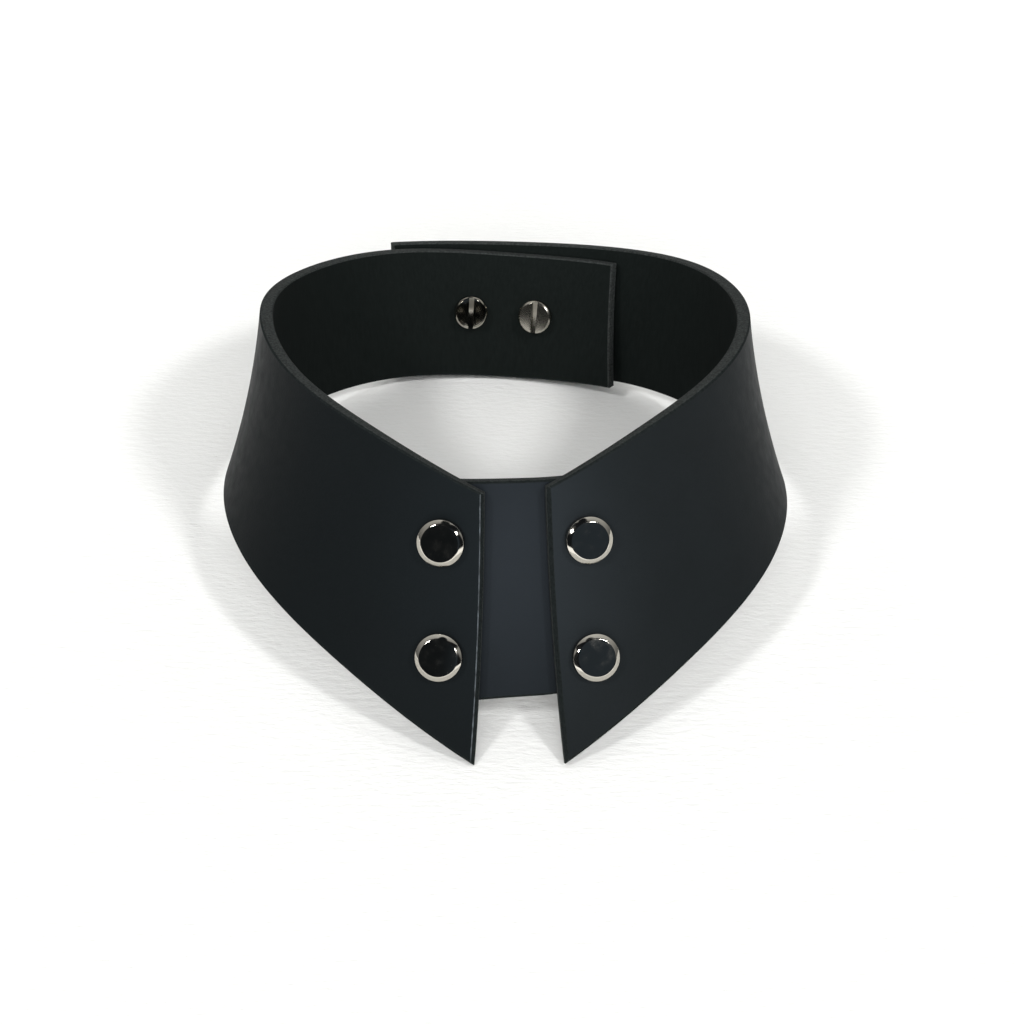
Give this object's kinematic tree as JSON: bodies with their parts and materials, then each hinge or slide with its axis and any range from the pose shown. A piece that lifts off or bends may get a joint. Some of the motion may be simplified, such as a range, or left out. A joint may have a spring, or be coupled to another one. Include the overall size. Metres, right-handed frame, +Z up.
{
  "type": "leather choker",
  "caption": "Wide black leather collar choker: shaped halves joined by a bridge in front and overlapped at the back, held by flat-headed screw posts.",
  "frame": {"origin": "middle of the footprint on the surface that the choker stands on", "axes": "+Z up, -Y towards the pointed front, +X towards the viewer's right when seen from the front"},
  "size_m": [0.1304, 0.1525, 0.056],
  "materials": {
    "collar_leather": "smooth matte black grain side, burnished cut edges",
    "bridge_leather": "smooth black grain side with a faint sheen",
    "post_metal": "polished nickel plate",
    "screw_metal": "turned nickel plate"
  },
  "bodies": {
    "root": {"panel_left": "collar_leather", "panel_right": "collar_leather", "front_bridge": "bridge_leather", "front_post_left_upper": "post_metal", "front_post_left_lower": "post_metal", "front_post_right_upper": "post_metal", "front_post_right_lower": "post_metal", "back_post_left": "post_metal", "back_post_right": "post_metal", "front_screw_left_upper": "screw_metal", "front_screw_left_lower": "screw_metal", "front_screw_right_upper": "screw_metal", "front_screw_right_lower": "screw_metal", "back_screw_left": "screw_metal", "back_screw_right": "screw_metal"}
  },
  "joints": []
}
